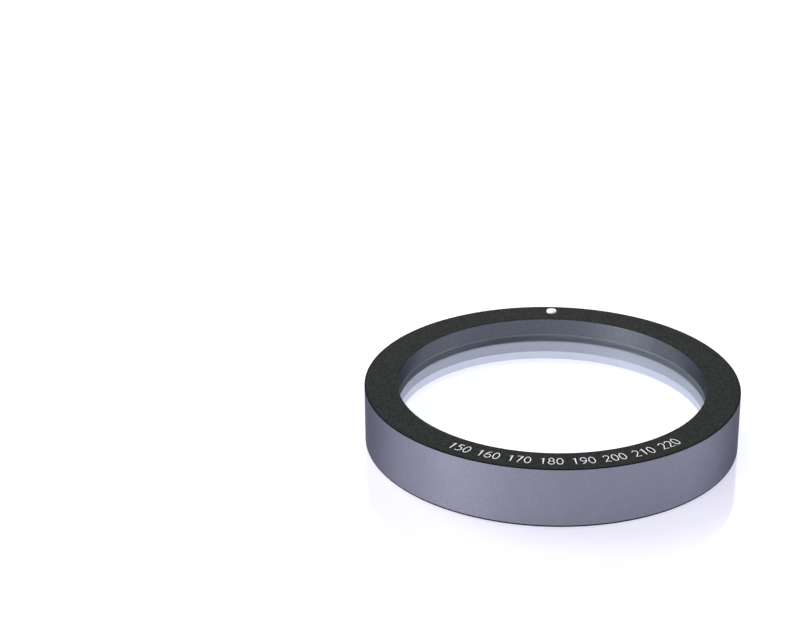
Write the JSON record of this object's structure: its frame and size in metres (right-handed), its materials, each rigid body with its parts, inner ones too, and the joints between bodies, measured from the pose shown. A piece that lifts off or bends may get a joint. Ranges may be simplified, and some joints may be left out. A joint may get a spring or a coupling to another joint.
{
  "type": "dual wavelength waveplate",
  "caption": "Thin round quartz waveplate clamped in a black ring holder by a retaining ring, with a white axis dot on the front face.",
  "frame": {"origin": "centre of the back face, which is the face that it rests on", "axes": "+Z along the optical axis towards the marked front face, +Y through the axis mark"},
  "size_m": [0.0254, 0.0254, 0.0042],
  "materials": {
    "black_anodised": "fine bead-blasted, black anodised",
    "quartz": "polished",
    "black_gasket": "matt",
    "satin_aluminium": "satin turned",
    "white_enamel": "smooth white enamel"
  },
  "bodies": {
    "root": {"ring_holder": "black_anodised", "waveplate": "quartz", "gasket": "black_gasket", "retaining_ring": "satin_aluminium", "fast_axis_mark": "white_enamel"}
  },
  "joints": []
}
